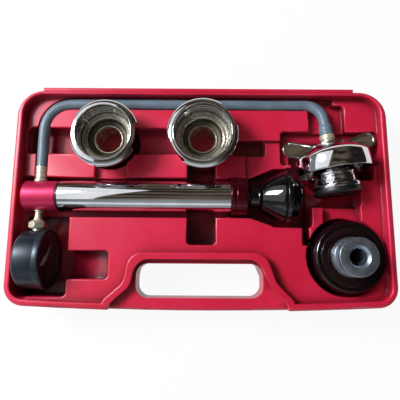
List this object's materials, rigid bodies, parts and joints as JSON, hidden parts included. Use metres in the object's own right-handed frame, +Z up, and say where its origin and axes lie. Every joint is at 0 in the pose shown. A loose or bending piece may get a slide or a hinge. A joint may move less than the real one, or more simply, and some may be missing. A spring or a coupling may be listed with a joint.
{
  "type": "radiator pressure tester",
  "caption": "Hand-pumped cooling system pressure tester with gauge, hose, cap-style test head and neck adaptors, lying in its moulded carry case tray.",
  "frame": {"origin": "middle of the case's bounding box, on the surface it stands on", "axes": "+X along the pump towards its grip, +Y towards the case's hinge side, +Z up"},
  "size_m": [0.34, 0.2006, 0.0712],
  "materials": {
    "case_plastic": "gloss",
    "manifold_red": "satin",
    "collar_red": "satin",
    "chrome": "polished",
    "nickel": "satin",
    "steel": "satin",
    "brass": "satin",
    "black_rubber": "matte",
    "hose_rubber": "satin",
    "gauge_black": "gloss",
    "gauge_glass": "gloss",
    "dial_black": "matte",
    "pointer_white": "matte",
    "grip_black": "gloss",
    "adaptor_black": "gloss",
    "zinc": "satin",
    "seal_fibre": "matte"
  },
  "bodies": {
    "case": {"case_outer_shell": "case_plastic", "case_inner_tray": "case_plastic"},
    "tester": {"pump_manifold": "manifold_red", "manifold_gasket": "black_rubber", "pump_barrel": "chrome", "pump_collar": "collar_red", "rod_bush": "brass", "check_valve_seat": "brass", "check_valve_spring": "steel", "gauge_stem": "brass", "gauge_case": "gauge_black", "gauge_bezel": "gauge_black", "gauge_lens": "gauge_glass", "gauge_dial": "dial_black", "gauge_movement_frame": "brass", "gauge_bourdon_tube": "brass", "gauge_socket": "brass", "hose_ferrule_pump": "brass", "hose": "hose_rubber", "hose_end_on_barb": "hose_rubber", "hose_ferrule_head": "brass", "head_stem": "chrome", "head_retaining_nut": "steel"},
    "plunger": {"plunger_rod": "steel", "piston": "nickel", "piston_cup_seal": "black_rubber", "piston_nut": "steel"},
    "grip": {"pump_grip": "grip_black", "grip_insert": "brass"},
    "check_ball": {"check_valve_ball": "steel"},
    "pointer": {"gauge_pointer": "pointer_white"},
    "sector": {"gauge_sector_gear": "brass"},
    "head_cap_group": {"head_cap": "chrome", "head_wings": "chrome", "head_spring": "steel"},
    "head_seal_group": {"head_spring_cup": "chrome", "head_seal_plate": "chrome", "head_gasket": "black_rubber"},
    "left_cup": {"left_cup_body": "chrome", "left_cup_cam_ring": "chrome", "left_cup_seat": "nickel", "left_cup_gasket": "seal_fibre"},
    "right_cup": {"right_cup_body": "chrome", "right_cup_cam_ring": "chrome", "right_cup_seat": "nickel", "right_cup_gasket": "seal_fibre"},
    "cap_adaptor": {"adaptor_body": "adaptor_black", "adaptor_rim_ring": "adaptor_black", "adaptor_spool": "zinc", "adaptor_spool_washer": "steel", "adaptor_base_nut": "steel"}
  },
  "joints": [
    {"name": "tester_lift", "type": "slide", "parent": "case", "child": "tester", "axis": [0, 0, 1], "range_m": [0, 0.12]},
    {"name": "plunger_stroke", "type": "slide", "parent": "tester", "child": "plunger", "axis": [1, 0, 0], "range_m": [0, 0.005]},
    {"name": "handle_turn", "type": "hinge", "parent": "plunger", "child": "grip", "pos_m": [0.06, 0, 0.034], "axis": [1, 0, 0], "continuous": true},
    {"name": "check_ball_lift", "type": "slide", "parent": "tester", "child": "check_ball", "axis": [-1, 0, 0], "range_m": [0, 0.0015], "stiffness_N_per_m": 60, "springref_m": -0.001, "deforming": ["check_valve_spring"]},
    {"name": "sector_turn", "type": "hinge", "parent": "tester", "child": "sector", "pos_m": [-0.15, -0.07135, 0.034], "axis": [1, 0, 0], "range_deg": [0, 33.75], "stiffness_Nm_per_rad": 0.004, "springref_deg": -17.19},
    {"name": "pointer_turn", "type": "hinge", "parent": "tester", "child": "pointer", "pos_m": [-0.15, -0.05695, 0.034], "axis": [-1, 0, 0], "range_deg": [0, 270]},
    {"name": "head_turn", "type": "hinge", "parent": "tester", "child": "head_cap_group", "pos_m": [0.1176, 0.0475, 0.038], "axis": [0.1392, -0.9903, 0], "range_deg": [-14, 14]},
    {"name": "seal_press", "type": "slide", "parent": "tester", "child": "head_seal_group", "axis": [-0.1392, 0.9903, 0], "range_m": [0, 0.006], "stiffness_N_per_m": 3000, "springref_m": -0.004, "deforming": ["head_spring"]},
    {"name": "left_cup_lift", "type": "slide", "parent": "tester", "child": "left_cup", "axis": [0, 0, 1], "range_m": [0, 0.1]},
    {"name": "right_cup_lift", "type": "slide", "parent": "tester", "child": "right_cup", "axis": [0, 0, 1], "range_m": [0, 0.1]},
    {"name": "cap_adaptor_lift", "type": "slide", "parent": "case", "child": "cap_adaptor", "axis": [0, 0, 1], "range_m": [0, 0.1]}
  ],
  "couplings": [
    {"joint": "pointer_turn", "follows": "sector_turn", "ratio": 8}
  ]
}
